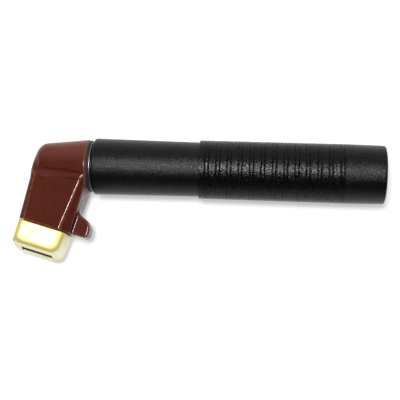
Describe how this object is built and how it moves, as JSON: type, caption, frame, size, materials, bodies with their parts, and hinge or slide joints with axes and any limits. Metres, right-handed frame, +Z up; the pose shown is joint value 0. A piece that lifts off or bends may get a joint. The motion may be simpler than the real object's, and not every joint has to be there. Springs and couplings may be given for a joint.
{
  "type": "electrode holder",
  "caption": "Twist-handle welding electrode holder: angled insulated head with a bare brass jaw tip and hook, and a ribbed grip on a round tube handle.",
  "frame": {"origin": "on the handle's axis, in the plane of the rear mouth where the cable enters", "axes": "+X along the handle towards the cable, -Y the way the head's arm points, +Z up with the holder lying on its side"},
  "size_m": [0.2324, 0.0803, 0.0374],
  "materials": {
    "brown_insulation": "glossy moulded phenolic",
    "brass": "polished, faintly scuffed",
    "copper": "machined copper alloy",
    "bronze": "cast bronze",
    "steel": "ground",
    "spring_steel": "oiled",
    "plated_steel": "bright zinc plate",
    "black_fibre": "matt vulcanised fibre",
    "black_moulding": "satin moulded black",
    "grip_rubber": "pebbled rubber",
    "screw_black": "blackened screw"
  },
  "bodies": {
    "head": {"head_insulator": "brown_insulation", "head_casting": "brass", "fixed_contact": "copper", "jaw_pivot_pin": "steel", "jaw_return_spring": "spring_steel", "stem_lock_pin": "steel", "conductor_stem": "brass", "insulating_washer": "black_fibre", "collar_ring": "plated_steel", "rear_retaining_ring": "spring_steel", "thrust_washer": "steel", "cable_sleeve": "copper", "cable_set_screws": "steel"},
    "handle": {"handle_tube": "black_moulding", "grip_sleeve": "grip_rubber", "front_bush": "black_fibre", "drive_nut": "brass", "rear_bush": "black_fibre", "cable_end_bush": "black_moulding", "front_handle_screw": "screw_black", "rear_handle_screw": "screw_black"},
    "push_rod": {"push_rod": "steel", "thrust_button": "steel", "cross_pin": "steel", "follower_ring": "brass"},
    "jaw": {"jaw_lever": "bronze", "jaw_contact": "copper", "jaw_contact_rivets": "copper"}
  },
  "joints": [
    {"name": "handle_twist", "type": "hinge", "parent": "head", "child": "handle", "pos_m": [0, 0, 0], "axis": [-1, 0, 0], "range_deg": [0, 480]},
    {"name": "rod_slide", "type": "slide", "parent": "head", "child": "push_rod", "axis": [-1, 0, 0], "range_m": [0, 0.00335]},
    {"name": "jaw_swing", "type": "hinge", "parent": "head", "child": "jaw", "pos_m": [-0.20878, -0.01652, 0], "axis": [0, 0, 1], "range_deg": [0, 11.6], "deforming": ["jaw_return_spring"]}
  ],
  "couplings": [
    {"joint": "rod_slide", "follows": "handle_twist", "m_per_rad": 0.00039789},
    {"joint": "jaw_swing", "follows": "handle_twist", "ratio": 0.024114}
  ]
}
